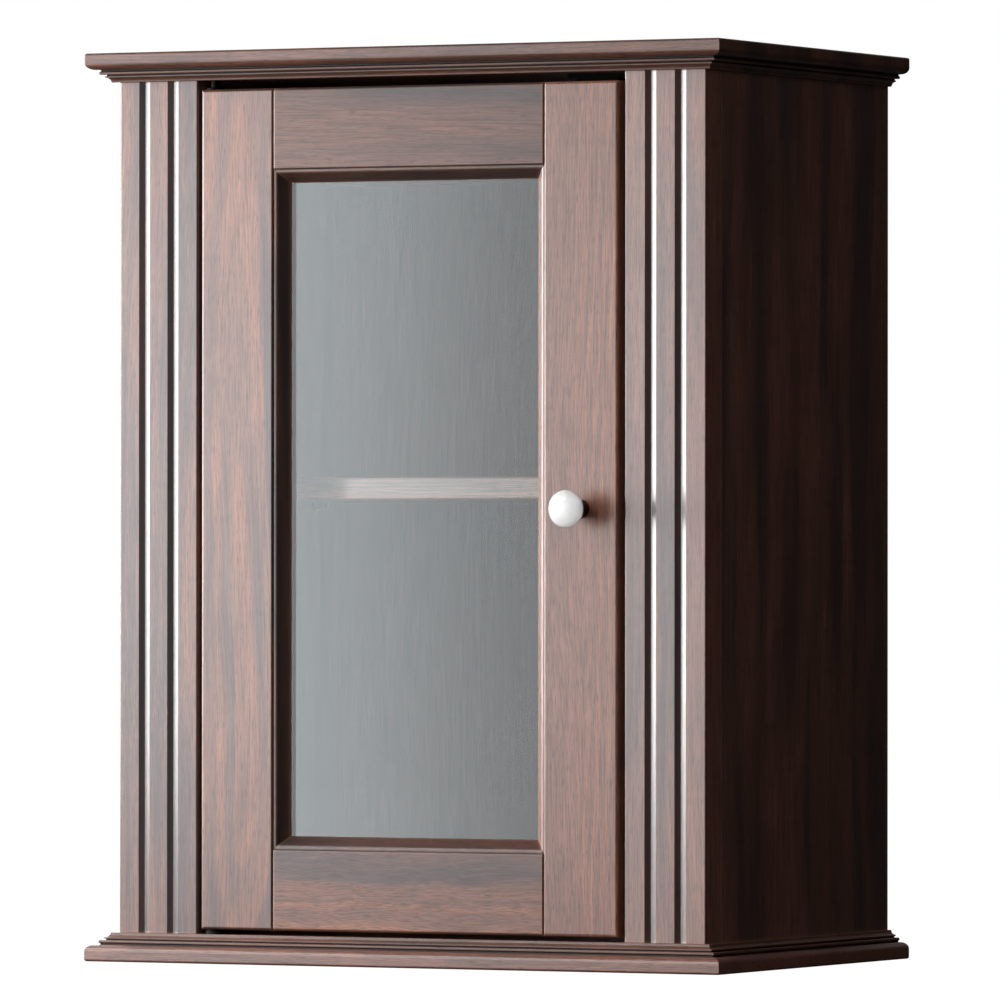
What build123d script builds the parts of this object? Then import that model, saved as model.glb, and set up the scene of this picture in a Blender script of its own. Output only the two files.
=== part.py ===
from build123d import *
from math import cos, radians, sin, tan
import os

# Wall-hung pine cabinet with a glazed door. Millimetres.
# X runs to the viewer's right, Y towards the wall, Z up.
# The origin lies on the wall plane, midway between the two wall screws.

# Carcass
HEIGHT = 600.0
BODY_WIDTH = 431.0
BODY_DEPTH = 281.0
OVERHANG = 17.0
BOARD_T = 19.0
SIDE_T = 16.0
BACK_T = 5.0
BACK_INSET_X = 1.0
BACK_INSET_Z = 4.0

# Hanging rail and wall screws
RAIL_H = 60.0
RAIL_T = 18.0
WALL_HOLE_R = 3.0
WALL_HOLE_SPACING = 300.0
SCREW_HEIGHT = 551.0

# Fluted front posts
PILASTER_W = 59.0
PILASTER_T = 22.0
FLUTE_W = 8.2
FLUTE_D = 1.8
FLUTES = 2
FLUTE_ROOT_R = 1.2
FLUTE_ARRIS_R = 0.4
POST_ARRIS_R = 1.5
SEAM_ARRIS_R = 0.4

# Moulded edge of the top and base boards, measured out from the body and up from its end
CAVETTO_OUT = 4.0
CAVETTO_R = 3.2
CAVETTO_ARRIS_R = 0.5
LIP_H = 0.9
STEP_OUT = 10.0
STEP_H = 2.1
STEP_R = 0.8
GROOVE_H = 0.9
GROOVE_D = 0.9
OVOLO_SET = 0.8
OVOLO_H = 4.2
NOSE_R = 1.6

# Shelf
SHELF_T = 15.0
SHELF_UNDER = 305.0
SHELF_SETBACK = 45.0
SHELF_END_GAP = 1.1
SHELF_ARRIS_R = 1.5
PIN_R = 2.5
PIN_IN = 10.0
PIN_OUT = 10.0
PIN_COLLAR_R = 4.0
PIN_COLLAR_T = 1.0
PIN_INSET = 30.0

# Door frame
DOOR_T = 21.0
DOOR_PROUD = 2.0
GAP_SIDE = 3.5
GAP_TOP = 6.0
GAP_BOTTOM = 3.0
FACE_W = 53.5
STICK_W = 8.5
QUIRK_W = 0.7
QUIRK_D = 1.6
STICK_R = 3.0
STICK_SLOPE = 50.0
SEAT_DEPTH = 10.0
REBATE_W = 8.0
ARRIS_R = 2.0
JOINT_ARRIS_R = 1.4

# Glass and its rear beads
GLASS_T = 3.0
GLASS_GAP = 1.0
GLAZING_BEAD_R = 3.0
BEAD_PIN_R = 0.7
BEAD_PIN_L = 14.0
BEAD_PIN_PITCH = 150.0

# Pivot hinge
HINGE_INSET = 7.0
PIVOT_R = 3.0
PIVOT_CLEARANCE = 0.05
PIVOT_TOP_L = 18.0
PIVOT_BOTTOM_L = 6.5
PLATE_L = 30.0
PLATE_W = 13.0
PLATE_T = 2.0
PLATE_CORNER_R = 2.0
PLATE_OVERLAP = 1.0
PLATE_SCREWS_AT = (18.0, 25.5)
BUSH_R = 4.5
BUSH_FLANGE_R = 6.0
BUSH_FLANGE_T = 1.0
BUSH_TOP_L = 20.0
BUSH_BOTTOM_L = 8.0
WASHER_T = 1.8
WASHER_BORE_R = 3.3

# Knob
KNOB_STEM_R = 6.0
KNOB_CUP_R = 10.0
KNOB_CUP_START = 12.0
KNOB_CUP_END = 18.0
KNOB_FLARE_R = 7.0
KNOB_FLARE_AT = 16.0
KNOB_HEAD_R = 12.3
KNOB_HEAD_FRONT = 28.0
KNOB_RIM_AT = 21.5
KNOB_BACK_R = 11.8
KNOB_BACK_AT = 19.7
KNOB_SCREW_R = 2.0
KNOB_SCREW_HEAD_R = 4.0
KNOB_SCREW_HEAD_T = 2.5
KNOB_SCREW_HEAD_ARRIS_R = 1.0
KNOB_SCREW_REACH = 5.0

# Magnetic catch and its strike plate
CATCH_L = 46.0
CATCH_BODY_L = 30.0
CATCH_H = 15.0
CATCH_D = 14.0
CATCH_EAR_T = 3.0
CATCH_GAP = 0.4
CATCH_ARRIS_R = 1.0
CATCH_EAR_R = 3.0
MAGNET_L = 24.0
MAGNET_H = 7.0
MAGNET_D = 9.0
MAGNET_RISE = 1.5
STRIKE_L = 30.0
STRIKE_H = 14.0
STRIKE_T = 1.5
STRIKE_DROP = 1.0
STRIKE_CORNER_R = 2.0

# Dowels and screws
DOWEL_R = 4.0
DOWEL_L = 30.0
DOWEL_IN_BOARD = 12.0
DOWEL_IN_SIDE = 10.0
DOWEL_FRONT_INSET = 61.0
DOWEL_REAR_INSET = 40.0
POST_DOWEL_PITCH = 200.0
POST_DOWEL_DEPTH = 13.0
DOOR_DOWEL_R = 3.0
DOOR_DOWEL_L = 50.0
DOOR_DOWEL_DEPTH = 14.5
SMALL_SCREW_R = 1.5
SMALL_SCREW_HEAD_R = 3.0
SMALL_SCREW_HEAD_T = 1.5
SMALL_SCREW_L = 14.0
BACK_SCREW_L = 16.0
BACK_SCREWS_UP = (50.0, 210.0, 350.0, 480.0)

# Places worked out from the sizes above
X_BODY = BODY_WIDTH / 2
X_INSIDE = X_BODY - SIDE_T
X_OPENING = X_BODY - PILASTER_W
X_SIDE_MID = X_BODY - SIDE_T / 2
Y_FRONT = -BODY_DEPTH
Y_SIDE = Y_FRONT + PILASTER_T
Y_REAR = -BACK_T
Z_BOTTOM = -SCREW_HEIGHT
Z_TOP = Z_BOTTOM + HEIGHT
Z_FLOOR = Z_BOTTOM + BOARD_T
Z_CEILING = Z_TOP - BOARD_T
Z_MIDDLE = (Z_FLOOR + Z_CEILING) / 2

X_DOOR = X_OPENING - GAP_SIDE
Y_DOOR = Y_FRONT - DOOR_PROUD
Y_DOOR_BACK = Y_DOOR + DOOR_T
Z_DOOR_BOTTOM = Z_FLOOR + GAP_BOTTOM
Z_DOOR_TOP = Z_CEILING - GAP_TOP
Z_DOOR_MID = (Z_DOOR_BOTTOM + Z_DOOR_TOP) / 2
X_JOINT = X_DOOR - FACE_W
MEMBER_W = FACE_W + STICK_W
SEAT_EDGE = MEMBER_W - REBATE_W
X_HINGE = -X_DOOR + HINGE_INSET
Y_HINGE = Y_DOOR + HINGE_INSET
X_PLATE = -X_DOOR - PLATE_OVERLAP
X_KNOB = X_DOOR - FACE_W / 2


def block(x, y, z):
    """Box that spans three (low, high) pairs."""
    size = Box(x[1] - x[0], y[1] - y[0], z[1] - z[0])
    return Pos((x[0] + x[1]) / 2, (y[0] + y[1]) / 2, (z[0] + z[1]) / 2) * size


def rod(start, direction, length, radius):
    """Round bar from a point along a direction."""
    place = Plane(origin=start, z_dir=direction).location
    return place * Cylinder(radius, length, align=(Align.CENTER, Align.CENTER, Align.MIN))


def countersunk_screw(head, direction, length):
    """Screw whose flat head lies flush at a point and which runs along a direction."""
    place = Plane(origin=head, z_dir=direction).location
    low = (Align.CENTER, Align.CENTER, Align.MIN)
    shank = Cylinder(SMALL_SCREW_R, length, align=low)
    cone = Cone(SMALL_SCREW_HEAD_R, SMALL_SCREW_R, SMALL_SCREW_HEAD_T, align=low)
    return place * (shank + cone)


def both_sides(shape):
    """The shape and its mirror image across the cabinet's middle."""
    return [shape, mirror(shape, about=Plane.YZ)]


def moulding_section(inward):
    """Section of a moulded board: x out from the body, y from the body's end to the outer face."""
    lip_x = CAVETTO_OUT + CAVETTO_R
    lip_y = CAVETTO_R + LIP_H
    step_y = lip_y + GROOVE_H
    step_top = step_y + STEP_H
    ovolo_x = STEP_OUT + OVOLO_SET
    ovolo_y = step_top + GROOVE_H
    ovolo_top = ovolo_y + OVOLO_H
    rounded = {
        (CAVETTO_OUT, 0): CAVETTO_ARRIS_R,
        (STEP_OUT, step_y): STEP_R,
        (STEP_OUT, step_top): STEP_R,
        (OVERHANG, BOARD_T): NOSE_R,
    }
    with BuildSketch() as section:
        with BuildLine():
            Line((-inward, 0), (CAVETTO_OUT, 0))
            CenterArc((lip_x, 0), CAVETTO_R, 180, -90)
            Polyline(
                (lip_x, CAVETTO_R),
                (lip_x, lip_y),
                (lip_x - GROOVE_D, lip_y),
                (lip_x - GROOVE_D, step_y),
                (STEP_OUT, step_y),
                (STEP_OUT, step_top),
                (STEP_OUT - GROOVE_D, step_top),
                (STEP_OUT - GROOVE_D, ovolo_y),
                (ovolo_x, ovolo_y),
            )
            ovolo_w = OVERHANG - ovolo_x
            EllipticalCenterArc((ovolo_x, ovolo_top), ovolo_w, OVOLO_H, start_angle=-90, arc_size=90)
            Polyline((OVERHANG, ovolo_top), (OVERHANG, BOARD_T), (-inward, BOARD_T), (-inward, 0))
        make_face()
        for corner, radius in rounded.items():
            fillet(section.vertices().sort_by_distance(corner)[0], radius)
    return section.sketch


def base_board():
    """Board with the moulding on its front and both ends."""
    half_width = X_BODY + OVERHANG
    board_depth = BODY_DEPTH - BACK_T
    front_plane = Plane(origin=(-half_width, Y_FRONT, Z_FLOOR), x_dir=(0, -1, 0), z_dir=(1, 0, 0))
    front = extrude(front_plane * moulding_section(board_depth), amount=2 * half_width)
    end_plane = Plane(origin=(X_BODY, Y_FRONT - OVERHANG, Z_FLOOR), x_dir=(1, 0, 0), z_dir=(0, 1, 0))
    end = extrude(end_plane * moulding_section(X_BODY + half_width), amount=board_depth + OVERHANG)
    return front & end & mirror(end, about=Plane.YZ)


def top_board():
    """The base board turned upside down."""
    return mirror(base_board(), about=Plane.XY.offset((Z_FLOOR + Z_CEILING) / 2))


def pilaster():
    """Right-hand front post with shallow flutes, V-shaped with a rounded root, between equal lands."""
    post = block((X_OPENING, X_BODY), (Y_FRONT, Y_SIDE), (Z_FLOOR, Z_CEILING))
    land = (PILASTER_W - 2 * POST_ARRIS_R - FLUTES * FLUTE_W) / (FLUTES + 1)
    for index in range(FLUTES):
        middle = X_OPENING + POST_ARRIS_R + land + FLUTE_W / 2 + index * (land + FLUTE_W)
        left, right = middle - FLUTE_W / 2, middle + FLUTE_W / 2
        outline = Polyline((left, Y_FRONT), (right, Y_FRONT), (middle, Y_FRONT + FLUTE_D), close=True)
        post -= Pos(0, 0, Z_FLOOR) * extrude(make_face(outline), amount=Z_CEILING - Z_FLOOR)
    root_edges = post.edges().filter_by(Axis.Z).group_by(Axis.Y)[1]
    post = fillet(root_edges, FLUTE_ROOT_R)
    front_edges = post.edges().filter_by(Axis.Z).group_by(Axis.Y)[0].sort_by(Axis.X)
    post = fillet(front_edges[1:-1], FLUTE_ARRIS_R)
    front_edges = post.edges().filter_by(Axis.Z).group_by(Axis.Y)[0].sort_by(Axis.X)
    post = fillet([front_edges[0], front_edges[-1]], POST_ARRIS_R)
    seam_edge = post.edges().filter_by(Axis.Z).group_by(Axis.Y)[-1].sort_by(Axis.X)[-1]
    return fillet(seam_edge, SEAM_ARRIS_R)


def side_panel():
    """Right-hand side board with an eased arris at the seam behind the front post."""
    panel = block((X_INSIDE, X_BODY), (Y_SIDE, Y_REAR), (Z_FLOOR, Z_CEILING))
    seam_edge = panel.edges().filter_by(Axis.Z).group_by(Axis.Y)[0].sort_by(Axis.X)[-1]
    return fillet(seam_edge, SEAM_ARRIS_R)


def member_section(inner_arris):
    """Section of a door frame member: x from its outer edge inwards, y from its face to its back."""
    quirk_end = FACE_W + QUIRK_W
    slope = radians(STICK_SLOPE)
    turn_x = quirk_end + STICK_R * sin(slope)
    turn_y = QUIRK_D + STICK_R * (1 - cos(slope))
    stick_depth = turn_y + (MEMBER_W - turn_x) * tan(slope)
    with BuildSketch() as section:
        with BuildLine():
            Line((0, DOOR_T), (0, ARRIS_R))
            CenterArc((ARRIS_R, ARRIS_R), ARRIS_R, 180, 90)
            Line((ARRIS_R, 0), (FACE_W - inner_arris, 0))
            if inner_arris:
                CenterArc((FACE_W - inner_arris, inner_arris), inner_arris, -90, 90)
            Polyline((FACE_W, inner_arris), (FACE_W, QUIRK_D), (quirk_end, QUIRK_D))
            CenterArc((quirk_end, QUIRK_D + STICK_R), STICK_R, -90, STICK_SLOPE)
            Polyline(
                (turn_x, turn_y),
                (MEMBER_W, stick_depth),
                (MEMBER_W, SEAT_DEPTH),
                (SEAT_EDGE, SEAT_DEPTH),
                (SEAT_EDGE, DOOR_T),
                (0, DOOR_T),
            )
        make_face()
    return section.sketch


def eased_ends():
    """Bar as thick and high as the door, with its two front edges rounded, to ease the stiles' ends."""
    bar = block((-X_DOOR, X_DOOR), (Y_DOOR, Y_DOOR_BACK), (Z_DOOR_BOTTOM, Z_DOOR_TOP))
    return fillet(bar.edges().filter_by(Axis.X).group_by(Axis.Y)[0], ARRIS_R)


def stile(inner_arris):
    """Left-hand upright of the door."""
    plane = Plane(origin=(-X_DOOR, Y_DOOR, Z_DOOR_BOTTOM), x_dir=(1, 0, 0), z_dir=(0, 0, 1))
    return extrude(plane * member_section(inner_arris), amount=Z_DOOR_TOP - Z_DOOR_BOTTOM)


def bottom_rail():
    """Lower cross-piece of the door, scribed over the moulding of both stiles."""
    plane = Plane(origin=(X_JOINT, Y_DOOR, Z_DOOR_BOTTOM), x_dir=(0, 0, 1), z_dir=(-1, 0, 0))
    rail = extrude(plane * member_section(JOINT_ARRIS_R), amount=2 * X_JOINT)
    end_edges = rail.edges().filter_by(Axis.Z).group_by(Axis.Y)[0]
    return fillet(end_edges, JOINT_ARRIS_R) - both_sides(stile(0))


def glazing_bead(x, z, inner_edge):
    """Rear bead of the glass with its exposed corner rounded; inner_edge picks that corner."""
    bead = block(x, (Y_DOOR + SEAT_DEPTH + GLASS_T, Y_DOOR_BACK), z)
    return fillet(inner_edge(bead.edges().group_by(Axis.Y)[-1]), GLAZING_BEAD_R)


def hinge_plate(z_face, up, pivot_length):
    """Pivot plate let in flush at a board's face; its pin stands out of the face."""
    x = (X_PLATE, X_PLATE + PLATE_L)
    y = (Y_HINGE - PLATE_W / 2, Y_HINGE + PLATE_W / 2)
    z = sorted((z_face, z_face + up * PLATE_T))
    plate = block(x, y, z)
    plate = fillet(plate.edges().filter_by(Axis.Z), PLATE_CORNER_R)
    return plate + rod((X_HINGE, Y_HINGE, z_face), (0, 0, -up), pivot_length, PIVOT_R)


def hinge_bush(z_end, up, length):
    """Flanged bush in the end of the left stile; up is the way the end faces."""
    start = (X_HINGE, Y_HINGE, z_end + up * BUSH_FLANGE_T)
    sleeve = rod(start, (0, 0, -up), length, BUSH_R)
    flange = rod(start, (0, 0, -up), BUSH_FLANGE_T, BUSH_FLANGE_R)
    return sleeve + flange - rod(start, (0, 0, -up), length, PIVOT_R + PIVOT_CLEARANCE)


def turned(points_and_arcs):
    """Solid of revolution about the knob's axis from (radius, distance from the door) pieces."""
    with BuildSketch(Plane(origin=(X_KNOB, Y_DOOR, Z_DOOR_MID), x_dir=(1, 0, 0), z_dir=(0, 0, 1))) as section:
        with BuildLine():
            points_and_arcs()
        make_face()
    return revolve(section.sketch, axis=Axis((X_KNOB, Y_DOOR, Z_DOOR_MID), (0, -1, 0)))


def knob_stem_outline():
    """Turned base: a straight stem that flares into a shallow cup."""
    Line((0, 0), (KNOB_STEM_R, 0))
    Line((KNOB_STEM_R, 0), (KNOB_STEM_R, -KNOB_CUP_START))
    flare = (KNOB_FLARE_R, -KNOB_FLARE_AT)
    ThreePointArc((KNOB_STEM_R, -KNOB_CUP_START), flare, (KNOB_CUP_R, -KNOB_CUP_END))
    Polyline((KNOB_CUP_R, -KNOB_CUP_END), (0, -KNOB_CUP_END), (0, 0))


def knob_head_outline():
    """Flattened ball with a domed front, standing on the cup."""
    Line((0, -KNOB_CUP_END), (KNOB_CUP_R, -KNOB_CUP_END))
    back = (KNOB_BACK_R, -KNOB_BACK_AT)
    ThreePointArc((KNOB_CUP_R, -KNOB_CUP_END), back, (KNOB_HEAD_R, -KNOB_RIM_AT))
    dome = KNOB_HEAD_FRONT - KNOB_RIM_AT
    EllipticalCenterArc((0, -KNOB_RIM_AT), KNOB_HEAD_R, dome, start_angle=-90, arc_size=90)
    Line((0, -KNOB_HEAD_FRONT), (0, -KNOB_CUP_END))


def knob_screw():
    """Pan-headed screw from the back of the right stile into the knob."""
    head = rod((X_KNOB, Y_DOOR_BACK, Z_DOOR_MID), (0, 1, 0), KNOB_SCREW_HEAD_T, KNOB_SCREW_HEAD_R)
    head = fillet(head.edges().group_by(Axis.Y)[-1], KNOB_SCREW_HEAD_ARRIS_R)
    shank_length = DOOR_T + KNOB_CUP_END + KNOB_SCREW_REACH
    return head + rod((X_KNOB, Y_DOOR_BACK, Z_DOOR_MID), (0, -1, 0), shank_length, KNOB_SCREW_R)


def catch_body():
    """Housing of the magnetic catch, with an ear at each end for its screws."""
    y_face = Y_DOOR_BACK + STRIKE_T + CATCH_GAP
    y = (y_face, y_face + CATCH_D)
    x_housing = (X_KNOB - CATCH_BODY_L / 2, X_KNOB + CATCH_BODY_L / 2)
    housing = block(x_housing, y, (Z_CEILING - CATCH_H, Z_CEILING))
    housing = fillet(housing.edges().group_by(Axis.Z)[0], CATCH_ARRIS_R)
    x_ears = (X_KNOB - CATCH_L / 2, X_KNOB + CATCH_L / 2)
    ears = block(x_ears, y, (Z_CEILING - CATCH_EAR_T, Z_CEILING))
    return housing + fillet(ears.edges().filter_by(Axis.Z), CATCH_EAR_R)


def catch_magnet():
    """Magnet with its pole plates, flush with the front of the housing."""
    y_face = Y_DOOR_BACK + STRIKE_T + CATCH_GAP
    z = Z_CEILING - CATCH_H + MAGNET_RISE
    x = (X_KNOB - MAGNET_L / 2, X_KNOB + MAGNET_L / 2)
    return block(x, (y_face, y_face + MAGNET_D), (z, z + MAGNET_H))


def strike_plate():
    """Steel plate on the back of the door, facing the magnet."""
    x = (X_KNOB - STRIKE_L / 2, X_KNOB + STRIKE_L / 2)
    z_high = Z_DOOR_TOP - STRIKE_DROP
    plate = block(x, (Y_DOOR_BACK, Y_DOOR_BACK + STRIKE_T), (z_high - STRIKE_H, z_high))
    return fillet(plate.edges().filter_by(Axis.Y), STRIKE_CORNER_R)


# Fasteners, which also cut their own holes
side_dowel_ys = (Y_FRONT + DOWEL_FRONT_INSET, Y_REAR - DOWEL_REAR_INSET)
board_ends = ((Z_FLOOR - DOWEL_IN_BOARD, 1), (Z_CEILING + DOWEL_IN_BOARD, -1))
carcass_dowels = []
for y in side_dowel_ys:
    for z, way in board_ends:
        carcass_dowels += both_sides(rod((X_SIDE_MID, y, z), (0, 0, way), DOWEL_L, DOWEL_R))

x_post = X_BODY - PILASTER_W / 2
y_post = Y_FRONT + POST_DOWEL_DEPTH
pilaster_dowels = []
for z, way in board_ends:
    pilaster_dowels += both_sides(rod((x_post, y_post, z), (0, 0, way), DOWEL_L, DOWEL_R))
for lift in (-POST_DOWEL_PITCH, 0, POST_DOWEL_PITCH):
    start = (X_SIDE_MID, Y_SIDE - DOWEL_IN_BOARD, Z_MIDDLE + lift)
    pilaster_dowels += both_sides(rod(start, (0, 1, 0), DOWEL_L, DOWEL_R))

y_rail = Y_REAR - RAIL_T / 2
rail_dowels = []
for drop in (RAIL_H / 4, RAIL_H * 3 / 4):
    start = (X_INSIDE + DOWEL_IN_SIDE, y_rail, Z_CEILING - drop)
    rail_dowels += both_sides(rod(start, (-1, 0, 0), DOWEL_L, DOWEL_R))

y_door_dowel = Y_DOOR + DOOR_DOWEL_DEPTH
door_dowels = []
for inset in (FACE_W / 4, FACE_W * 3 / 4):
    for z in (Z_DOOR_BOTTOM + inset, Z_DOOR_TOP - inset):
        start = (X_JOINT + DOOR_DOWEL_L / 2, y_door_dowel, z)
        door_dowels += both_sides(rod(start, (-1, 0, 0), DOOR_DOWEL_L, DOOR_DOWEL_R))

back_screws = []
for lift in BACK_SCREWS_UP:
    back_screws += both_sides(countersunk_screw((X_SIDE_MID, 0, Z_FLOOR + lift), (0, -1, 0), BACK_SCREW_L))
for z in (Z_BOTTOM + BOARD_T / 2, Z_TOP - BOARD_T / 2):
    back_screws += both_sides(countersunk_screw((X_BODY / 2, 0, z), (0, -1, 0), BACK_SCREW_L))

hinge_screws = []
for along in PLATE_SCREWS_AT:
    hinge_screws.append(countersunk_screw((X_PLATE + along, Y_HINGE, Z_FLOOR), (0, 0, -1), SMALL_SCREW_L))
    hinge_screws.append(countersunk_screw((X_PLATE + along, Y_HINGE, Z_CEILING), (0, 0, 1), SMALL_SCREW_L))

y_catch = Y_DOOR_BACK + STRIKE_T + CATCH_GAP + CATCH_D / 2
ear_offset = (CATCH_L + CATCH_BODY_L) / 4
catch_screws = []
for offset in (-ear_offset, ear_offset):
    head = (X_KNOB + offset, y_catch, Z_CEILING - CATCH_EAR_T)
    catch_screws.append(countersunk_screw(head, (0, 0, 1), SMALL_SCREW_L))

z_strike = Z_DOOR_TOP - STRIKE_DROP - STRIKE_H / 2
strike_screw = countersunk_screw((X_KNOB, Y_DOOR_BACK + STRIKE_T, z_strike), (0, -1, 0), SMALL_SCREW_L)

z_seat_low = Z_DOOR_BOTTOM + SEAT_EDGE
z_seat_high = Z_DOOR_TOP - SEAT_EDGE
x_seat = X_DOOR - SEAT_EDGE
y_bead = Y_DOOR + (SEAT_DEPTH + GLASS_T + DOOR_T) / 2
bead_pins = []
for lift in (-BEAD_PIN_PITCH, 0, BEAD_PIN_PITCH):
    start = (x_seat - REBATE_W, y_bead, Z_DOOR_MID + lift)
    bead_pins += both_sides(rod(start, (1, 0, 0), BEAD_PIN_L, BEAD_PIN_R))
for z, way in ((z_seat_low + REBATE_W, -1), (z_seat_high - REBATE_W, 1)):
    bead_pins += both_sides(rod((x_seat / 2, y_bead, z), (0, 0, way), BEAD_PIN_L, BEAD_PIN_R))

z_shelf = Z_BOTTOM + SHELF_UNDER
shelf_pins = []
for y in (Y_FRONT + SHELF_SETBACK + PIN_INSET, Y_REAR - PIN_INSET):
    pin = rod((X_INSIDE + PIN_IN, y, z_shelf - PIN_R), (-1, 0, 0), PIN_IN + PIN_OUT, PIN_R)
    collar = rod((X_INSIDE, y, z_shelf - PIN_R), (-1, 0, 0), PIN_COLLAR_T, PIN_COLLAR_R)
    shelf_pins += both_sides(pin + collar)

screw_into_knob = knob_screw()
plate_top = hinge_plate(Z_CEILING, 1, PIVOT_TOP_L)
plate_bottom = hinge_plate(Z_FLOOR, -1, PIVOT_BOTTOM_L)
bush_top = hinge_bush(Z_DOOR_TOP, 1, BUSH_TOP_L)
bush_bottom = hinge_bush(Z_DOOR_BOTTOM, -1, BUSH_BOTTOM_L)
bush_bores = [
    rod((X_HINGE, Y_HINGE, Z_DOOR_TOP), (0, 0, -1), BUSH_TOP_L - BUSH_FLANGE_T, BUSH_R),
    rod((X_HINGE, Y_HINGE, Z_DOOR_BOTTOM), (0, 0, 1), BUSH_BOTTOM_L - BUSH_FLANGE_T, BUSH_R),
]
wall_holes = both_sides(rod((WALL_HOLE_SPACING / 2, 0, 0), (0, -1, 0), BACK_T + RAIL_T, WALL_HOLE_R))

# Carcass
board_fasteners = carcass_dowels + pilaster_dowels + back_screws + hinge_screws + catch_screws
nodes = {
    "top_board": top_board() - board_fasteners - plate_top,
    "base_board": base_board() - board_fasteners - plate_bottom,
}
side_fasteners = carcass_dowels + pilaster_dowels + rail_dowels + back_screws + shelf_pins
for name, panel in zip(("right", "left"), both_sides(side_panel())):
    nodes["side_panel_" + name] = panel - side_fasteners
for name, post in zip(("right", "left"), both_sides(pilaster())):
    nodes["pilaster_" + name] = post - pilaster_dowels
x_back = X_BODY - BACK_INSET_X
back = block((-x_back, x_back), (Y_REAR, 0), (Z_BOTTOM + BACK_INSET_Z, Z_TOP - BACK_INSET_Z))
nodes["back_panel"] = back - back_screws - wall_holes
rail = block((-X_INSIDE, X_INSIDE), (Y_REAR - RAIL_T, Y_REAR), (Z_CEILING - RAIL_H, Z_CEILING))
nodes["hanging_rail"] = rail - rail_dowels - wall_holes
x_shelf = X_INSIDE - SHELF_END_GAP
shelf = block((-x_shelf, x_shelf), (Y_FRONT + SHELF_SETBACK, Y_REAR), (z_shelf, z_shelf + SHELF_T))
nodes["shelf"] = fillet(shelf.edges().filter_by(Axis.X).group_by(Axis.Y)[0], SHELF_ARRIS_R)

# Hinges and catch
nodes["hinge_plate_top"] = plate_top - hinge_screws
nodes["hinge_plate_bottom"] = plate_bottom - hinge_screws
washer_start = (X_HINGE, Y_HINGE, Z_FLOOR)
washer = rod(washer_start, (0, 0, 1), WASHER_T, BUSH_FLANGE_R)
nodes["hinge_washer"] = washer - rod(washer_start, (0, 0, 1), WASHER_T, WASHER_BORE_R)
nodes["hinge_bush_top"] = bush_top
nodes["hinge_bush_bottom"] = bush_bottom
magnet = catch_magnet()
nodes["catch_body"] = catch_body() - magnet - catch_screws
nodes["catch_magnet"] = magnet
nodes["strike_plate"] = strike_plate() - strike_screw
nodes["strike_screw"] = strike_screw

# Door
left_stile = stile(JOINT_ARRIS_R) & eased_ends()
right_stile = mirror(left_stile, about=Plane.YZ)
knob_hole = rod((X_KNOB, Y_DOOR_BACK, Z_DOOR_MID), (0, -1, 0), DOOR_T, KNOB_SCREW_R)
low_rail = bottom_rail()
high_rail = mirror(low_rail, about=Plane.XY.offset(Z_DOOR_MID))
nodes["door_stile_left"] = left_stile - door_dowels - bead_pins - bush_bores
nodes["door_stile_right"] = right_stile - door_dowels - bead_pins - knob_hole - strike_screw
nodes["door_rail_bottom"] = low_rail - door_dowels - bead_pins
nodes["door_rail_top"] = high_rail - door_dowels - bead_pins
x_glass = x_seat - GLASS_GAP
z_glass = (z_seat_low + GLASS_GAP, z_seat_high - GLASS_GAP)
y_glass = (Y_DOOR + SEAT_DEPTH, Y_DOOR + SEAT_DEPTH + GLASS_T)
nodes["glass_pane"] = block((-x_glass, x_glass), y_glass, z_glass)
side_bead = glazing_bead(
    (x_seat - REBATE_W, x_seat),
    (z_seat_low + REBATE_W, z_seat_high - REBATE_W),
    lambda edges: edges.filter_by(Axis.Z).sort_by(Axis.X)[0],
)
low_bead = glazing_bead(
    (-x_seat, x_seat),
    (z_seat_low, z_seat_low + REBATE_W),
    lambda edges: edges.filter_by(Axis.X).sort_by(Axis.Z)[-1],
)
for name, bead in zip(("right", "left"), both_sides(side_bead)):
    nodes["glazing_bead_" + name] = bead - bead_pins
nodes["glazing_bead_bottom"] = low_bead - bead_pins
nodes["glazing_bead_top"] = mirror(low_bead, about=Plane.XY.offset(Z_DOOR_MID)) - bead_pins
nodes["knob_stem"] = turned(knob_stem_outline) - screw_into_knob
nodes["knob_head"] = turned(knob_head_outline) - screw_into_knob
nodes["knob_screw"] = screw_into_knob

# Groups of like fasteners
groups = {
    "carcass_dowels": carcass_dowels,
    "pilaster_dowels": pilaster_dowels,
    "rail_dowels": rail_dowels,
    "door_dowels": door_dowels,
    "back_screws": back_screws,
    "hinge_screws": hinge_screws,
    "catch_screws": catch_screws,
    "bead_pins": bead_pins,
    "shelf_pins": shelf_pins,
}
for name, solids in groups.items():
    nodes[name] = Compound([piece.solid() for piece in solids])

os.makedirs("parts", exist_ok=True)
for name, shape in nodes.items():
    shape.label = name
    export_step(shape, f"parts/{name}.step")
    print(name, len(shape.solids()), round(shape.volume, 1))
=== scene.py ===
import math
from typing import NamedTuple

import bpy
from mathutils import Matrix, Vector

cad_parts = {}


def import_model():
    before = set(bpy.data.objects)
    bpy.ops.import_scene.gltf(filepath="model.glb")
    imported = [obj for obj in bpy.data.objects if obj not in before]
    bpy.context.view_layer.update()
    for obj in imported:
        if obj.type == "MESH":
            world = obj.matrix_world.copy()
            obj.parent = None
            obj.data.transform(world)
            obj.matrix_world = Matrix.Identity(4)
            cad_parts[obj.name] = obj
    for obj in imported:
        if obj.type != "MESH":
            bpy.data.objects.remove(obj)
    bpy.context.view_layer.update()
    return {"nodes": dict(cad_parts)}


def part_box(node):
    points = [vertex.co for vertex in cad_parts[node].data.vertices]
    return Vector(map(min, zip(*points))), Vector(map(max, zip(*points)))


# Looks of a wall-hung stained pine cabinet. Metres; the front faces -Y and the wall lies at y = 0.

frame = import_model()
nodes = frame["nodes"]

MM = 0.001
WHITE = (1, 1, 1, 1)
DOOR_MIDDLE = Vector((0, -0.283, -0.25))

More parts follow.
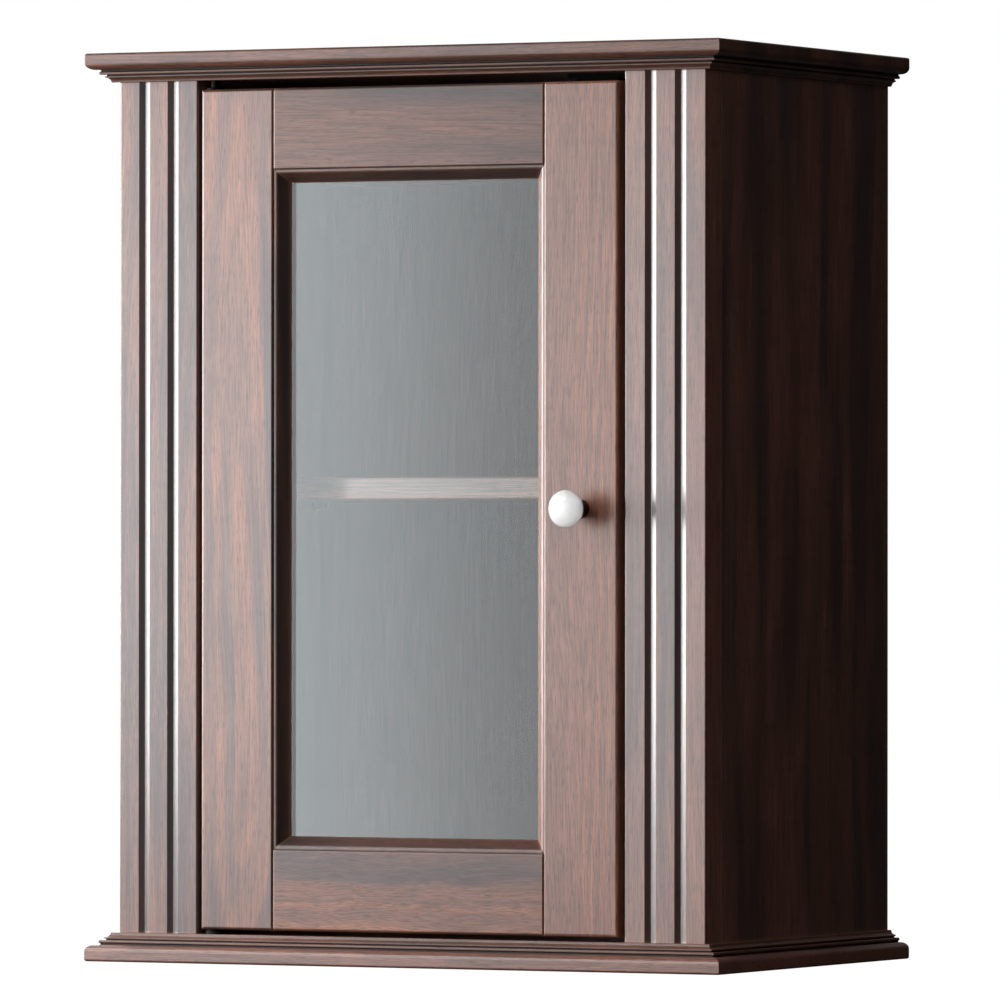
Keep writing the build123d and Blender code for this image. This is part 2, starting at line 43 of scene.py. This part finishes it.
# Camera, as the photograph was taken: from the right, level with the lower half of the door
CAMERA_PLACE = (2.997, -6.062, -0.2801)
CAMERA_YAW = 26.879
CAMERA_PITCH = 0.296
CAMERA_ROLL = 0.038
CAMERA_LENS = 359.6
CAMERA_REACH = 200
SENSOR = 36.0

# Stain colours, linear: where the wood drank it, on plain wood, on hard late wood, in pores, on rubbed edges
GREY_STAIN = (0.100, 0.062, 0.058, 1)
BROWN_STAIN = (0.285, 0.122, 0.085, 1)
ORANGE_STAIN = (0.440, 0.172, 0.094, 1)
DARK_STAIN = (0.045, 0.024, 0.020, 1)
RUBBED_STAIN = (0.400, 0.190, 0.115, 1)

# Sizes of the marks in pine, in millimetres across and along the grain
BOW_SIZE = (150, 420)
ZONE_SIZE = (28, 340)
PATCH_SIZE = (34, 110)
FIBRE_SIZE = (0.7, 45)
STREAK_SIZE = (1.5, 240)
PORE_SIZE = (0.5, 9)
MOTTLE_SIZE = (5, 45)

# Other lengths in pine, in millimetres: how far the lines bow, how broad their waves are, the radius over
# which the years differ, and how far apart two seeds lie in the noise
BOW_REACH = 30
WAVE_ACROSS = 22
UNEVEN_LENGTH = 17.0
SEED_STEP = (37.0, 91.0, 53.0)

# Strength of the marks in pine: two values of the mark's noise, and what shows at each
STREAK_SHOWS = (0.46, 0.72, 0.0, 0.16)
FIBRE_SHOWS = (0.36, 0.60, 0.6, 0.0)
PORE_SHOWS = (0.30, 0.44, 0.8, 0.0)
PATCH_FIGURE = (0.34, 0.66, 0.45, 1.0)

# Noise: its middle, its usual range, and the shades that two marks give at the ends of that range
NOISE_MIDDLE = (0.5, 0.5, 0.5)
NOISE_RANGE = (0.3, 0.7)
MOTTLE_SHADES = (0.88, 1.12)
PATCH_SHADES = (0.9, 1.15)

# Noise at which wood turns from grey to brown, and what is left of the lines where they are faint
BROWN_FROM = 0.38
BROWN_FULL = 0.58
FAINT_FIGURE = 0.12

# Share of a year's growth over which its hard line comes in and goes out
LATE_RISE = (0.2, 0.78)
LATE_FALL = (0.80, 1.0)

# Cosine to the board's face at which a surface starts to count as slanted and wholly does, from face and edge
SLANT_FROM_FACE = (0.98, 0.93)
SLANT_FROM_EDGE = (0.25, 0.45)

# Hollows and edges: how far they are looked for, and two values of the openness with what shows at each; the
# shade values paint shade into the colour in hollows, the crevice values paint shade into the sheen in
# crevices
OPENNESS_SAMPLES = 6
SHADE_REACH = 10 * MM
SHADE_SHOWS = (0.5, 0.95, 0.2, 1.0)
CREVICE_REACH = 3 * MM
CREVICE_SHINE = (0.35, 0.75, 0.1, 1.0)
RUBBED_REACH = 2 * MM
RUBBED_SHOWS = (0.95, 0.6, 0.0, 0.25)

# Lacquer: roughness between and on the fibres, how far the fibres fan the sheen, and the coat's share
LACQUER_ROUGHNESS = (0.42, 0.30)
SHEEN_FAN = 0.35
COAT_SHARE = 0.3

# Relief of the wood: heights of its fibres and hard lines, and the rounding of its edges
FIBRE_HEIGHT = 0.5
LATE_HEIGHT = 0.4
EDGE_RADIUS = 0.4 * MM
EDGE_SAMPLES = 4

# Glass: waves and smears per metre
GLASS_IOR = 1.5
GLASS_TINT = (0.95, 0.975, 0.97, 1)
GLASS_WAVES = (9, 9, 4)
GLASS_SMEARS = (14, 14, 7)
SMEAR_ROUGHNESS = (0.0, 0.02)

# Small hard pieces: how much broader the tint's marks are than the grain, and the swing of the roughness
BROAD_MARKS = 9
TINT_RANGE = (0.35, 0.65)
ROUGHNESS_SWING = (0.85, 1.2)

# Stage: even light on surfaces, the floor with its glow at two distances from its middle, and the flags
AMBIENT = 0.1
FLOOR_Z = -1.25
FLOOR_SIZE = (60, 60)
FLOOR_GREY = (0.3, 0.3, 0.3, 1)
FLOOR_GLOW = (1.0, 3.5, 0.8, 1.0)
CLOTH_BLACK = (0.008, 0.008, 0.008, 1)
CLOTH_SHEEN = (0.016, 0.016, 0.016, 1)

# Sockets of a Mix node that carry colours
MIX_A = 6
MIX_B = 7
MIX_RESULT = 2


class Graph:
    """Adds nodes to a node tree and links them by socket."""

    def __init__(self, tree):
        self.tree = tree
        tree.nodes.clear()

    def feed(self, socket, value):
        """Links a socket or sets its value."""
        if isinstance(value, bpy.types.NodeSocket):
            self.tree.links.new(value, socket)
        else:
            socket.default_value = value

    def node(self, kind, inputs=None, **settings):
        made = self.tree.nodes.new("ShaderNode" + kind)
        for name, value in settings.items():
            setattr(made, name, value)
        for socket, value in (inputs or {}).items():
            self.feed(made.inputs[socket], value)
        return made

    def maths(self, operation, *values):
        return self.node("Math", dict(enumerate(values)), operation=operation).outputs[0]

    def vector(self, operation, *values):
        made = self.node("VectorMath", dict(enumerate(values)), operation=operation)
        return made.outputs["Value" if operation == "LENGTH" else "Vector"]

    def scale(self, vector, factor):
        return self.node("VectorMath", {0: vector, "Scale": factor}, operation="SCALE").outputs["Vector"]

    def parts(self, vector):
        return self.node("SeparateXYZ", {0: vector}).outputs

    def join(self, x, y, z):
        return self.node("CombineXYZ", {0: x, 1: y, 2: z}).outputs[0]

    def noise(self, place, detail, roughness=0.5, output="Fac"):
        inputs = {"Vector": place, "Scale": 1.0, "Detail": detail, "Roughness": roughness}
        return self.node("TexNoise", inputs).outputs[output]

    def span(self, value, low, high, to_low=0.0, to_high=1.0, smooth=False):
        """Maps low..high to to_low..to_high, clamped."""
        inputs = {"Value": value, "From Min": low, "From Max": high, "To Min": to_low, "To Max": to_high}
        shape = "SMOOTHSTEP" if smooth else "LINEAR"
        return self.node("MapRange", inputs, interpolation_type=shape).outputs[0]

    def mix(self, factor, a, b):
        """Mixes two colours."""
        return self.node("Mix", {0: factor, MIX_A: a, MIX_B: b}, data_type="RGBA").outputs[MIX_RESULT]

    def object_place(self):
        return self.node("TexCoord").outputs["Object"]

    def openness(self, reach, inside=False):
        """1 where the piece leaves its surface open within reach; less in hollows, or on edges if inside."""
        inputs = {"Distance": reach}
        settings = {"samples": OPENNESS_SAMPLES, "only_local": True, "inside": inside}
        return self.node("AmbientOcclusion", inputs, **settings).outputs["AO"]

    def shown_rays(self):
        """1 for rays that show a surface to the eye, straight or by way of gloss and glass."""
        path = self.node("LightPath").outputs
        shown = self.maths("MAXIMUM", path["Is Camera Ray"], path["Is Glossy Ray"])
        return self.maths("MAXIMUM", shown, path["Is Transmission Ray"])


def new_material(name):
    """Empty node material with its graph and output node."""
    material = bpy.data.materials.new(name)
    material.use_nodes = True
    graph = Graph(material.node_tree)
    return material, graph, graph.node("OutputMaterial")


# Board settings that leave the lines at full strength all over, and paint no shade into the moulding
ALL_OVER = (-400, -399)
NO_MOULDING_SHADE = (-400, -401, 1.0)


class Board(NamedTuple):
    """How a board was cut from its tree and finished, in millimetres from the board's centre.

    axes: its across, through and along axes. heart: where the tree's heart runs (across, through).
    seed: picks the noise. ring: width of a year's growth.
    lean: how far the heart shifts across per millimetre along.
    eye: (place along, slope above, slope below) where the heart comes nearest, and how it falls away.
    waver: (length, reach) of the waves in the lines. uneven: how much the years differ.
    figure: how much the lines show. strong: two places across between which they grow to full.
    warmth: how much more of the wood is brown rather than grey. pale: how light the colour is; raised on the
    shelf as painted light and lowered on the rails as painted shade.
    moulding_shade: two places through the board between which the colour darkens and the lacquer dulls into
    the moulding as painted shade, and the share of each that is left.
    profile: share of the colour left on surfaces that were cut at a slant to the face; below 1 it is painted
    shade, above 1 painted light.
    ior: how strongly the lacquer shines.
    """

    axes: str
    heart: tuple
    seed: float
    ring: float = 6.0
    lean: float = 0.0
    eye: tuple = (0, 0, 0)
    waver: tuple = (120, 4.0)
    uneven: float = 1.6
    figure: float = 0.3
    strong: tuple = ALL_OVER
    warmth: float = 0.0
    pale: float = 1.0
    moulding_shade: tuple = NO_MOULDING_SHADE
    profile: float = 1.0
    ior: float = 1.5


def board_place(graph, node, axes):
    """Millimetres from a board's centre, ordered across its face, through it and along its grain."""
    low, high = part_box(node)
    place = graph.vector("SUBTRACT", graph.object_place(), (low + high) / 2)
    parts = graph.parts(graph.scale(place, 1 / MM))
    return graph.join(*(parts["XYZ".index(letter)] for letter in axes))


def stretched(graph, place, size, shift):
    """Coordinates for noise whose features have a size across and along the grain."""
    across, along = size
    place = graph.vector("ADD", place, tuple(shift * step for step in SEED_STEP))
    return graph.vector("MULTIPLY", place, (1 / across, 1 / across, 1 / along))


def drift(graph, place, size, shift, reach):
    """Noise vector that moves the rings sideways by up to about half its reach."""
    moved = graph.noise(stretched(graph, place, size, shift), detail=1.0, output="Color")
    return graph.vector("MULTIPLY", graph.vector("SUBTRACT", moved, NOISE_MIDDLE), (reach, reach, 0))


def late_wood(graph, place, wavy, board):
    """0 in the soft wood to 1 in the hard lines of each year's growth."""
    along = graph.parts(place)[2]
    middle, slope_up, slope_down = board.eye
    above = graph.maths("SUBTRACT", along, middle)
    up = graph.maths("MULTIPLY", graph.maths("MAXIMUM", above, 0.0), slope_up)
    down = graph.maths("MULTIPLY", graph.maths("MINIMUM", above, 0.0), -slope_down)
    shift = graph.join(graph.maths("MULTIPLY", along, -board.lean), graph.maths("ADD", up, down), 0.0)
    from_heart = graph.vector("ADD", wavy, graph.vector("SUBTRACT", shift, board.heart + (0,)))
    radius = graph.vector("LENGTH", graph.vector("MULTIPLY", from_heart, (1, 1, 0)))
    uneven = graph.noise(graph.join(graph.maths("DIVIDE", radius, UNEVEN_LENGTH), board.seed, 0), detail=1.0)
    years = graph.maths("DIVIDE", radius, board.ring)
    ring = graph.maths("FRACT", graph.maths("ADD", years, graph.maths("MULTIPLY", uneven, board.uneven)))
    rise = graph.span(ring, *LATE_RISE, smooth=True)
    fall = graph.span(ring, *LATE_FALL, 1.0, 0.0, smooth=True)
    return graph.maths("MULTIPLY", rise, fall)


def grain_marks(graph, place, board):
    """The hard lines and the noise of every other kind of mark in a board, by name."""
    seed = board.seed
    wave_length, wave_reach = board.waver
    bow = drift(graph, place, BOW_SIZE, seed, BOW_REACH)
    waves = drift(graph, place, (WAVE_ACROSS, wave_length), seed + 1, wave_reach)
    wavy = graph.vector("ADD", graph.vector("ADD", place, bow), waves)
    return {
        "late": late_wood(graph, place, wavy, board),
        "zone": graph.noise(stretched(graph, wavy, ZONE_SIZE, seed + 2), detail=1.0),
        "patch": graph.noise(stretched(graph, place, PATCH_SIZE, seed + 3), detail=2.0),
        "fibre": graph.noise(stretched(graph, wavy, FIBRE_SIZE, seed + 4), detail=3.0, roughness=0.6),
        "streak": graph.noise(stretched(graph, wavy, STREAK_SIZE, seed + 5), detail=2.0),
        "pore": graph.noise(stretched(graph, place, PORE_SIZE, seed + 6), detail=1.0),
        "mottle": graph.noise(stretched(graph, place, MOTTLE_SIZE, seed + 7), detail=3.0),
    }


def stained(graph, place, marks, board):
    """Colour of the stain on a board's grain."""
    strength = graph.span(marks["patch"], *PATCH_FIGURE)
    side = graph.span(graph.parts(place)[0], *board.strong, FAINT_FIGURE, 1.0, smooth=True)
    lines = graph.maths("MULTIPLY", graph.maths("MULTIPLY", marks["late"], strength), side)
    brown = graph.span(marks["zone"], BROWN_FROM - board.warmth, BROWN_FULL - board.warmth)
    colour = graph.mix(brown, GREY_STAIN, BROWN_STAIN)
    colour = graph.mix(graph.maths("MULTIPLY", lines, board.figure), colour, ORANGE_STAIN)
    colour = graph.mix(graph.span(marks["streak"], *STREAK_SHOWS), colour, ORANGE_STAIN)
    colour = graph.mix(graph.span(marks["fibre"], *FIBRE_SHOWS), colour, DARK_STAIN)
    colour = graph.mix(graph.span(marks["pore"], *PORE_SHOWS), colour, DARK_STAIN)
    colour = graph.scale(colour, graph.span(marks["mottle"], *NOISE_RANGE, *MOTTLE_SHADES))
    dark, light = PATCH_SHADES
    shade = graph.span(marks["patch"], *NOISE_RANGE, dark * board.pale, light * board.pale)
    return graph.scale(colour, shade)


def slant(graph, axes):
    """1 on surfaces cut at a slant to a board's face, 0 on its faces and edges."""
    facing = graph.parts(graph.node("TexCoord").outputs["Normal"])["XYZ".index(axes[1])]
    level = graph.maths("ABSOLUTE", facing)
    return graph.maths("MULTIPLY", graph.span(level, *SLANT_FROM_FACE), graph.span(level, *SLANT_FROM_EDGE))


def pine(node, board):
    """Stained, lacquered pine whose long fibres spread the sheen sideways."""
    material, graph, output = new_material("pine_" + node)
    place = board_place(graph, node, board.axes)
    marks = grain_marks(graph, place, board)
    # Painted shade: colour and sheen fall off between two depths through the board, darkening the mouldings
    # of the top and base boards.
    start, end, share = board.moulding_shade
    depth = graph.span(graph.parts(place)[1], start, end, 1.0, share, smooth=True)
    colour = graph.scale(stained(graph, place, marks, board), depth)
    # Painted shade and light: the colour on slanted surfaces such as flute walls and stickings is scaled down
    # as painted shade, and scaled up as painted light on the right stile.
    colour = graph.scale(colour, graph.span(slant(graph, board.axes), 0.0, 1.0, 1.0, board.profile))
    rubbed = graph.span(graph.openness(RUBBED_REACH, inside=True), *RUBBED_SHOWS)
    colour = graph.mix(rubbed, colour, RUBBED_STAIN)
    # Painted shade: the colour darkens in hollows that the board closes in around itself.
    colour = graph.scale(colour, graph.span(graph.openness(SHADE_REACH), *SHADE_SHOWS))

    # Painted shade in the sheen: the lacquer's shine and coat fall off in crevices and in the moulding.
    shine = graph.maths("MULTIPLY", graph.span(graph.openness(CREVICE_REACH), *CREVICE_SHINE), depth)
    fibre_height = graph.maths("MULTIPLY", marks["fibre"], FIBRE_HEIGHT)
    height = graph.maths("ADD", fibre_height, graph.maths("MULTIPLY", marks["late"], LATE_HEIGHT))
    edges = graph.node("Bevel", {"Radius": EDGE_RADIUS}, samples=EDGE_SAMPLES).outputs[0]
    bump = graph.node("Bump", {"Strength": 0.35, "Distance": 0.06 * MM, "Height": height, "Normal": edges})
    tangent = graph.node("Tangent", direction_type="RADIAL", axis=board.axes[2])
    shader = graph.node("BsdfPrincipled", {
        "Base Color": colour,
        "Roughness": graph.span(marks["fibre"], *NOISE_RANGE, *LACQUER_ROUGHNESS),
        "IOR": board.ior,
        "Specular IOR Level": shine,
        "Anisotropic": SHEEN_FAN,
        "Tangent": tangent.outputs[0],
        "Coat Weight": graph.maths("MULTIPLY", shine, COAT_SHARE),
        "Coat Roughness": 0.18,
        "Normal": bump.outputs[0],
    })
    graph.feed(output.inputs[0], shader.outputs[0])
    return material


def glass():
    """Clear pane that lets lamps through, with a faint unevenness in its surface."""
    material, graph, output = new_material("clear_glass")
    place = graph.object_place()
    waves = graph.noise(graph.vector("MULTIPLY", place, GLASS_WAVES), detail=1.0)
    bump = graph.node("Bump", {"Strength": 0.05, "Distance": 0.2 * MM, "Height": waves}).outputs[0]
    smears = graph.noise(graph.vector("MULTIPLY", place, GLASS_SMEARS), detail=3.0)
    mirror = graph.node("BsdfGlossy", {
        "Color": WHITE,
        "Roughness": graph.span(smears, *NOISE_RANGE, *SMEAR_ROUGHNESS),
        "Normal": bump,
    })
    clear = graph.node("BsdfTransparent", {"Color": GLASS_TINT})
    share = graph.node("Fresnel", {"IOR": GLASS_IOR, "Normal": bump}).outputs[0]
    both = graph.node("MixShader", {0: share, 1: clear.outputs[0], 2: mirror.outputs[0]})
    graph.feed(output.inputs[0], both.outputs[0])
    return material


def hard_finish(name, colour, roughness, metallic=0.0, grain=900.0, depth=0.02, contrast=0.25, coat=0.0,
                gloss=0.5, milky=0.0):
    """Finish of small hard pieces: fine mottling of colour and roughness, and a slight bump.

    grain: marks per metre. depth: height of the bump in millimetres. contrast: how far the tint darkens.
    """
    material, graph, output = new_material(name)
    place = graph.object_place()
    fine = graph.noise(graph.scale(place, grain), detail=3.0)
    broad = graph.noise(graph.scale(place, grain / BROAD_MARKS), detail=2.0)
    dull = tuple(channel * (1 - contrast) for channel in colour) + (1,)
    tint = graph.mix(graph.span(broad, *TINT_RANGE), dull, colour + (1,))
    bump = graph.node("Bump", {"Strength": 0.3, "Distance": depth * MM, "Height": fine}).outputs[0]
    smooth, rough = ROUGHNESS_SWING
    shader = graph.node("BsdfPrincipled", {
        "Base Color": tint,
        "Roughness": graph.span(fine, *NOISE_RANGE, roughness * smooth, roughness * rough),
        "Metallic": metallic,
        "Specular IOR Level": gloss,
        "Coat Weight": coat,
        "Coat Roughness": 0.04,
        "Subsurface Weight": milky,
        "Subsurface Radius": (1, 1, 1),
        "Subsurface Scale": 8 * MM,
        "Normal": bump,
    })
    graph.feed(output.inputs[0], shader.outputs[0])
    return material


BOARDS = {
    "door_stile_left": Board("XYZ", (0, -10), 1.0, ring=13.0, eye=(-203, 0.035, 0.29), waver=(120, 3.0),
                             uneven=0.4, figure=0.85, warmth=-0.03, pale=0.92, profile=0.3),
    "door_stile_right": Board("XYZ", (44, 6), 2.0, ring=5.5, lean=0.045, waver=(160, 2.5), figure=1.0,
                              strong=(-12, 12), warmth=0.3, profile=1.3, ior=1.48),
    # The rails' colours are lowered as painted shade.
    "door_rail_top": Board("ZYX", (10, 60), 3.0, ring=7.0, figure=0.15, pale=0.7, profile=0.5, ior=1.38),
    "door_rail_bottom": Board("ZYX", (-70, 34), 4.0, ring=11.0, waver=(45, 9), figure=0.8, strong=(4, -6),
                              warmth=0.06, pale=0.85, profile=0.5, ior=1.42),
    "pilaster_left": Board("XYZ", (60, 60), 5.0, warmth=-0.01, profile=0.18),
    "pilaster_right": Board("XYZ", (50, 50), 6.0, warmth=0.07, profile=0.18, ior=1.6),
    "side_panel_left": Board("YXZ", (20, 70), 7.0, figure=0.15),
    "side_panel_right": Board("YXZ", (-20, -70), 8.0, figure=0.15),
    "top_board": Board("YZX", (10, -60), 9.0, moulding_shade=(4.5, 1.0, 0.7), pale=0.75, ior=1.42),
    "base_board": Board("YZX", (-20, 60), 10.0, warmth=0.15, moulding_shade=(-1.0, 3.0, 0.7)),
    # The shelf's colour is raised well above the stain's as painted light.
    "shelf": Board("YZX", (15, -50), 11.0, warmth=0.1, pale=2.4),
    "hanging_rail": Board("ZYX", (8, 50), 12.0),
    "glazing_bead_left": Board("XYZ", (30, 30), 13.0),
    "glazing_bead_right": Board("XYZ", (-30, 30), 14.0),
    "glazing_bead_top": Board("ZYX", (30, 30), 15.0),
    "glazing_bead_bottom": Board("ZYX", (-30, 30), 16.0),
    "back_panel": Board("XYZ", (30, 80), 17.0, warmth=0.12),
}


def wear(material, *names):
    """Gives CAD nodes one material."""
    for name in names:
        mesh = nodes[name].data
        mesh.materials.clear()
        mesh.materials.append(material)


for board_name, board in BOARDS.items():
    wear(pine(board_name, board), board_name)
wear(glass(), "glass_pane")
wear(hard_finish("beech", (0.48, 0.30, 0.16), 0.6),
     "carcass_dowels", "pilaster_dowels", "rail_dowels", "door_dowels")
wear(hard_finish("zinc_steel", (0.50, 0.51, 0.52), 0.35, metallic=1.0),
     "back_screws", "hinge_screws", "catch_screws", "bead_pins", "shelf_pins", "strike_plate", "strike_screw",
     "knob_screw")
# Painted shade: the hinge plates and bushes, the washer and the catch are coloured near black so that they
# stay dark in the shade of the gaps around the door.
wear(hard_finish("hinge_brass", (0.012, 0.009, 0.007), 0.6, metallic=1.0),
     "hinge_plate_top", "hinge_plate_bottom", "hinge_bush_top", "hinge_bush_bottom")
wear(hard_finish("nylon", (0.010, 0.010, 0.010), 0.6, gloss=0.15), "hinge_washer")
wear(hard_finish("black_plastic", (0.006, 0.006, 0.006), 0.7, gloss=0.05), "catch_body")
wear(hard_finish("magnet_steel", (0.07, 0.07, 0.075), 0.4, metallic=1.0), "catch_magnet")
wear(hard_finish("dark_bronze", (0.05, 0.035, 0.026), 0.4, metallic=1.0), "knob_stem")
wear(hard_finish("porcelain", (0.90, 0.90, 0.88), 0.12, contrast=0.03, depth=0.004, coat=1.0, milky=1.0),
     "knob_head")

LAMPS = {
    "window": dict(bearing=31, rise=1.5, distance=1.7, size=(1.3, 0.72), radiance=3.5,
                   colour=(0.93, 0.995, 1.04), fade=(0.47, 0.70, 0.34)),
    "left_bank": dict(bearing=73, rise=5, distance=1.5, size=(0.7, 0.7), radiance=14.5),
    "high_bank": dict(bearing=40, rise=42, distance=1.5, size=(1.0, 0.8), radiance=4.5),
    "far_left": dict(bearing=118, rise=3, distance=1.8, size=(2.4, 0.7), radiance=1.8),
    "back_fill": dict(bearing=160, rise=20, distance=2.6, size=(2.0, 2.0), radiance=2.0),
    "left_fill": dict(bearing=50, rise=35, distance=1.0, size=(0.6, 0.6), radiance=2.4, in_gloss=False),
    "right_fill": dict(bearing=-35, rise=15, distance=2.2, size=(1.2, 1.2), radiance=1.8, in_gloss=False),
    "knob_fill": dict(bearing=-38, rise=-12, distance=1.2, size=(0.5, 0.5), radiance=9.0, in_gloss=False),
}
FLAGS = {
    "flag_front": dict(bearing=-32, rise=0, distance=1.7, size=(1.8, 2.4)),
    "flag_side": dict(bearing=-82, rise=0, distance=1.7, size=(1.8, 2.4)),
    "flag_rear": dict(bearing=-132, rise=0, distance=1.7, size=(1.8, 2.4)),
    "flag_wall": dict(bearing=-176, rise=0, distance=1.7, size=(1.6, 2.4)),
    "flag_low": dict(bearing=0, rise=-88, distance=0.75, size=(2.6, 2.6)),
    "flag_high": dict(bearing=0, rise=88, distance=0.62, size=(1.3, 1.3)),
}


def from_bearing(bearing, rise):
    """Direction from the door to a place so many degrees left of straight ahead and above level."""
    turn, lift = math.radians(bearing), math.radians(rise)
    return Vector((-math.sin(turn) * math.cos(lift), -math.cos(turn) * math.cos(lift), math.sin(lift)))


def fade_across(lamp, start, end, share):
    """Dims a lamp between two places across it, from 0 to 1, to a share of its light."""
    lamp.use_nodes = True
    graph = Graph(lamp.node_tree)
    output = graph.node("OutputLight")
    across = graph.parts(graph.node("NewGeometry").outputs["Parametric"])[0]
    strength = graph.span(across, start, end, 1.0, share, smooth=True)
    glow = graph.node("Emission", {"Color": WHITE, "Strength": strength})
    graph.feed(output.inputs[0], glow.outputs[0])


def softbox(name, bearing, rise, distance, size, radiance, colour=(1, 1, 1), fade=None, in_gloss=True):
    """Area lamp that faces the door's middle; in_gloss says whether reflections show it."""
    way = from_bearing(bearing, rise)
    width, height = size
    lamp = bpy.data.lights.new(name, "AREA")
    lamp.shape = "RECTANGLE"
    lamp.size = width
    lamp.size_y = height
    lamp.energy = radiance * math.pi * width * height
    lamp.color = colour
    if fade:
        fade_across(lamp, *fade)
    holder = bpy.data.objects.new(name, lamp)
    holder.location = DOOR_MIDDLE + way * distance
    holder.rotation_euler = way.to_track_quat("Z", "Y").to_euler()
    holder.visible_glossy = in_gloss
    bpy.context.collection.objects.link(holder)
    return holder


lamps = {name: softbox(name, **settings) for name, settings in LAMPS.items()}
lit_by_knob_fill = bpy.data.collections.new("lit_by_knob_fill")
lit_by_knob_fill.objects.link(nodes["knob_head"])
lamps["knob_fill"].light_linking.receiver_collection = lit_by_knob_fill


def world():
    """White to the eye and in reflections, and a low even light on surfaces."""
    scene_world = bpy.data.worlds.new("studio")
    scene_world.use_nodes = True
    graph = Graph(scene_world.node_tree)
    output = graph.node("OutputWorld")
    white = graph.node("Background", {"Color": WHITE, "Strength": 1.0})
    dim = graph.node("Background", {"Color": WHITE, "Strength": AMBIENT})
    both = graph.node("MixShader", {0: graph.shown_rays(), 1: dim.outputs[0], 2: white.outputs[0]})
    graph.feed(output.inputs[0], both.outputs[0])
    bpy.context.scene.world = scene_world


def panel(name, centre, facing, size, material):
    """Flat stage panel."""
    mesh = bpy.data.meshes.new(name)
    half_w, half_h = size[0] / 2, size[1] / 2
    corners = [(-half_w, -half_h, 0), (half_w, -half_h, 0), (half_w, half_h, 0), (-half_w, half_h, 0)]
    mesh.from_pydata(corners, [], [(0, 1, 2, 3)])
    mesh.materials.append(material)
    made = bpy.data.objects.new(name, mesh)
    made.location = centre
    made.rotation_euler = Vector(facing).to_track_quat("Z", "Y").to_euler()
    bpy.context.collection.objects.link(made)
    return made


def floor_finish():
    """Pale floor that reads white in the open and keeps the object's shadow."""
    material, graph, output = new_material("pale_floor")
    away = graph.vector("LENGTH", graph.vector("MULTIPLY", graph.object_place(), (1, 1, 0)))
    glow = graph.span(away, *FLOOR_GLOW, smooth=True)
    matt = graph.node("BsdfDiffuse", {"Color": FLOOR_GREY})
    strength = graph.maths("MULTIPLY", graph.shown_rays(), glow)
    light = graph.node("Emission", {"Color": WHITE, "Strength": strength})
    both = graph.node("AddShader", {0: matt.outputs[0], 1: light.outputs[0]})
    graph.feed(output.inputs[0], both.outputs[0])
    return material


def flag_finish():
    """Black cloth of a studio flag."""
    material, graph, output = new_material("black_cloth")
    weave = graph.noise(graph.object_place(), detail=4.0)
    matt = graph.node("BsdfDiffuse", {"Color": graph.mix(weave, CLOTH_BLACK, CLOTH_SHEEN)})
    graph.feed(output.inputs[0], matt.outputs[0])
    return material


def flag(name, cloth, bearing, rise, distance, size):
    """Black flag that faces the cabinet; it is seen only in reflections and throws no shadow."""
    way = from_bearing(bearing, rise)
    made = panel(name, DOOR_MIDDLE + way * distance, -way, size, cloth)
    made.visible_camera = False
    made.visible_shadow = False


def camera():
    """Camera that gives the photograph's view; it looks straight down until it is turned."""
    data = bpy.data.cameras.new("camera")
    data.lens = CAMERA_LENS
    data.sensor_width = SENSOR
    data.clip_end = CAMERA_REACH
    holder = bpy.data.objects.new("camera", data)
    turn = Matrix.Rotation(math.radians(CAMERA_YAW), 4, "Z")
    turn = turn @ Matrix.Rotation(math.radians(90 + CAMERA_PITCH), 4, "X")
    turn = turn @ Matrix.Rotation(math.radians(CAMERA_ROLL), 4, "Z")
    holder.matrix_world = Matrix.Translation(CAMERA_PLACE) @ turn
    bpy.context.collection.objects.link(holder)
    bpy.context.scene.camera = holder


world()
panel("floor", (0, 0, FLOOR_Z), (0, 0, 1), FLOOR_SIZE, floor_finish())
flag_cloth = flag_finish()
for flag_name, settings in FLAGS.items():
    flag(flag_name, flag_cloth, **settings)
camera()
bpy.context.scene.view_settings.view_transform = "Standard"
